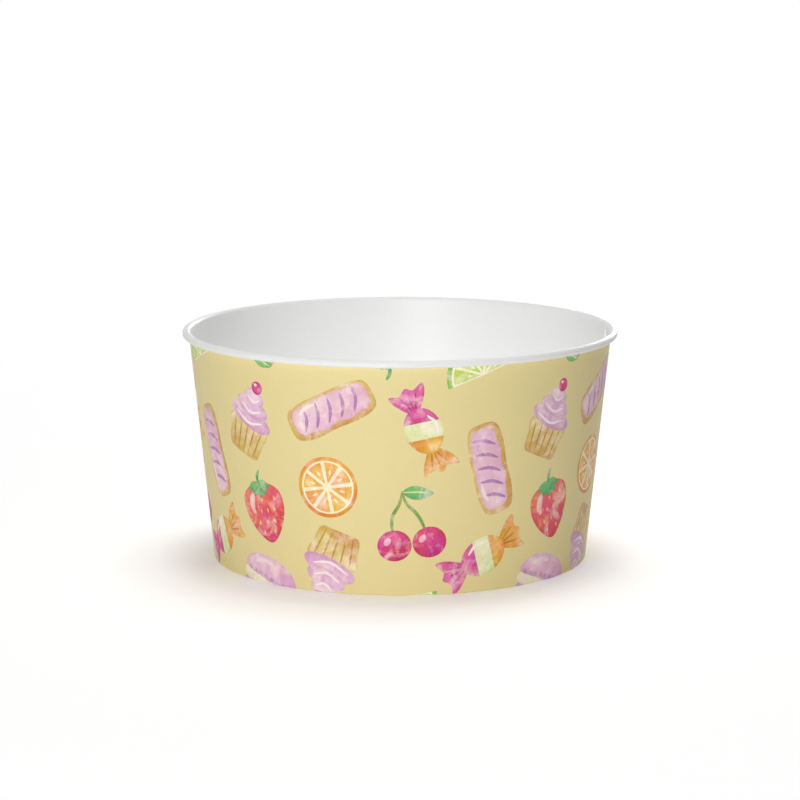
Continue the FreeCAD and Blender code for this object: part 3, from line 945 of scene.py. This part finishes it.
out_y = add_node(turning_tree, "ShaderNodeMath", {
    0: offset.outputs["X"], 1: sine.outputs[0],
}, operation="MULTIPLY")
spot = add_node(turning_tree, "ShaderNodeCombineXYZ", {
    "X": out_x.outputs[0], "Y": out_y.outputs[0], "Z": offset.outputs["Z"],
})
wrapped = add_node(turning_tree, "GeometryNodeSetPosition", {
    "Geometry": net.outputs["Mesh"], "Position": spot.outputs[0],
})
closed = add_node(turning_tree, "GeometryNodeMergeByDistance", {
    "Geometry": wrapped.outputs[0], "Distance": WELD_DISTANCE * MM,
})
real = add_node(turning_tree, "GeometryNodeRealizeInstances", {
    "Geometry": closed.outputs[0],
})
covered = add_node(turning_tree, "GeometryNodeSetMaterial", {
    "Geometry": real.outputs[0], "Material": base_board,
})
add_node(turning_tree, "NodeGroupOutput", {"Geometry": covered.outputs[0]})
turner = base.modifiers.new("turned", "NODES")
turner.node_group = turning_tree
turner[steps_socket.identifier] = WRAP_STEPS
turner[rows_socket.identifier] = len(section)
evaluated = base.evaluated_get(bpy.context.evaluated_depsgraph_get())
base_mesh = bpy.data.meshes.new_from_object(evaluated)
base.modifiers.remove(turner)
base.data = base_mesh
base_mesh.shade_smooth()
base_mesh.set_sharp_from_angle(angle=SHARP_ANGLE)
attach(base, "root")
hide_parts("base_disc")


# Table: a sheet of matt white paper, so large that no edge of it shows. It keeps the cup's
# soft shadow, is darkened by painted shade near the foot, and further out it turns into the
# plain white of the room.
FLOOR_SIZE = 6.0
FLOOR_GAP = 0.02 * MM
SHADOW_REACH = 0.45
# The paper's own faint light, which stands for the room's, away from the cup and at its
# foot, where it is lower so as to paint shade round the foot, and how many millimetres it
# takes to rise from the one to the other
FLOOR_LIFT = 0.26
FOOT_LIFT_IN_PAINTED_SHADE = 0.08
FOOT_SHADE = 20.0


def seen_directly(tree):
    """1 where a surface is seen itself, also in gloss or through glass, and 0 in its light."""
    sight = add_node(tree, "ShaderNodeLightPath").outputs
    seen = sight["Is Camera Ray"]
    for ray in ("Is Glossy Ray", "Is Transmission Ray"):
        either = add_node(tree, "ShaderNodeMath", {0: seen, 1: sight[ray]}, operation="MAXIMUM")
        seen = either.outputs[0]
    return seen


bpy.ops.mesh.primitive_plane_add(size=FLOOR_SIZE)
floor = bpy.context.object
floor.name = "floor"
floor.location.z = -FLOOR_GAP

# White paper sweep: dead matt and nearly pure white, a touch duller in what it throws back,
# with its own faint light dimmed round the foot as painted shade
paper, tree, shader = new_material("white_paper_with_painted_foot_shade")
output = tree.nodes["Material Output"]
place = add_node(tree, "ShaderNodeTexCoord").outputs["Object"]
shader.inputs["Roughness"].default_value = 0.9
seen = seen_directly(tree)
paper_white = add_node(tree, "ShaderNodeMix", {
    "Factor": seen, "A": (*linear("#FAFAFA"), 1), "B": (*linear("#FCFCFC"), 1),
}, data_type="RGBA")
tree.links.new(paper_white.outputs["Result"], shader.inputs["Base Color"])
away = add_node(tree, "ShaderNodeVectorMath", {0: place}, operation="LENGTH")
far = ranged(tree, away.outputs["Value"], 0.0, 1.0, SHADOW_REACH / 2, SHADOW_REACH)
blank = add_node(tree, "ShaderNodeMath", {0: far, 1: seen}, operation="MULTIPLY")
# Painted shade: the paper's own light is weaker within FOOT_SHADE millimetres of the foot, so
# the floor is darker there
lift_with_painted_foot_shade = ranged(tree, away.outputs["Value"], FOOT_LIFT_IN_PAINTED_SHADE, FLOOR_LIFT,
                   FOOT_RADIUS * MM, (FOOT_RADIUS + FOOT_SHADE) * MM)
seen_lift_with_painted_shade = add_node(tree, "ShaderNodeMath", {0: seen, 1: lift_with_painted_foot_shade}, operation="MULTIPLY")
lift_glow_with_painted_shade = add_node(tree, "ShaderNodeEmission", {"Strength": seen_lift_with_painted_shade.outputs[0]})
lit = add_node(tree, "ShaderNodeAddShader", {0: shader.outputs[0], 1: lift_glow_with_painted_shade.outputs[0]})
white = add_node(tree, "ShaderNodeEmission", {"Strength": 1.0})
mixed = add_node(tree, "ShaderNodeMixShader", {
    0: blank.outputs[0], 1: lit.outputs[0], 2: white.outputs[0],
})
tree.links.new(mixed.outputs[0], output.inputs["Surface"])
floor.data.materials.append(paper)


# Light: an even white room, a large soft lamp in front, a little to the left, and a weaker
# one behind, which only fill, and a soft lamp overhead, which throws the cup's shadow.
ROOM_STRENGTH = 0.15
CUP_MIDDLE = (0, 0, 0.04)
CUP_FLOOR = (0, 0, 0.02)
world = bpy.data.worlds.new("white_room")
world.use_nodes = True
bpy.context.scene.world = world
tree = world.node_tree
strength = add_node(tree, "ShaderNodeMapRange", {
    "Value": seen_directly(tree), "To Min": ROOM_STRENGTH, "To Max": 1.0,
})
backdrop = tree.nodes["Background"]
backdrop.inputs["Color"].default_value = (1, 1, 1, 1)
tree.links.new(strength.outputs["Result"], backdrop.inputs["Strength"])


def soft_lamp(name, place, target, size, power, shadow=True):
    """A square soft box at a place, facing a target."""
    lamp_data = bpy.data.lights.new(name, "AREA")
    lamp_data.size = size
    lamp_data.energy = power
    lamp_data.use_shadow = shadow
    lamp = bpy.data.objects.new(name, lamp_data)
    lamp.location = place
    facing = Vector(np.array(target) - place)
    lamp.rotation_euler = facing.to_track_quat("-Z", "Y").to_euler()
    bpy.context.scene.collection.objects.link(lamp)


soft_lamp("front_fill", (-0.37, -1.42, 0.38), CUP_MIDDLE, size=0.6, power=13.1, shadow=False)
soft_lamp("back_fill", (0.45, 1.34, 0.4), CUP_MIDDLE, size=0.6, power=6.5, shadow=False)
soft_lamp("overhead_soft_box", (0.08, 0.28, 1.25), CUP_FLOOR, size=0.58, power=6.3)


# Camera: a long lens about a metre away, aimed at the middle of the cup and looking down
# on it a little. The pixel values belong to a picture 800 pixels wide.
FRAME_PIXELS = 800
FOCAL_PIXELS = 3018
TARGET_PIXEL_DOWN = 440.1
CAMERA_DISTANCE = 1.05
CAMERA_RISE = math.radians(10.76)
SENSOR = 36.0
NEAR_CLIP = 0.05
camera_data = bpy.data.cameras.new("camera")
camera_data.sensor_width = SENSOR
camera_data.lens = FOCAL_PIXELS / FRAME_PIXELS * SENSOR
camera_data.shift_y = (TARGET_PIXEL_DOWN - FRAME_PIXELS / 2) / FRAME_PIXELS
camera_data.clip_start = NEAR_CLIP
camera = bpy.data.objects.new("camera", camera_data)
camera.location = (0, -CAMERA_DISTANCE * math.cos(CAMERA_RISE),
                   CUP_HEIGHT / 2 * MM + CAMERA_DISTANCE * math.sin(CAMERA_RISE))
camera.rotation_euler = (QUARTER_TURN - CAMERA_RISE, 0, 0)
bpy.context.scene.collection.objects.link(camera)
bpy.context.scene.camera = camera
bpy.context.scene.view_settings.view_transform = "Standard"
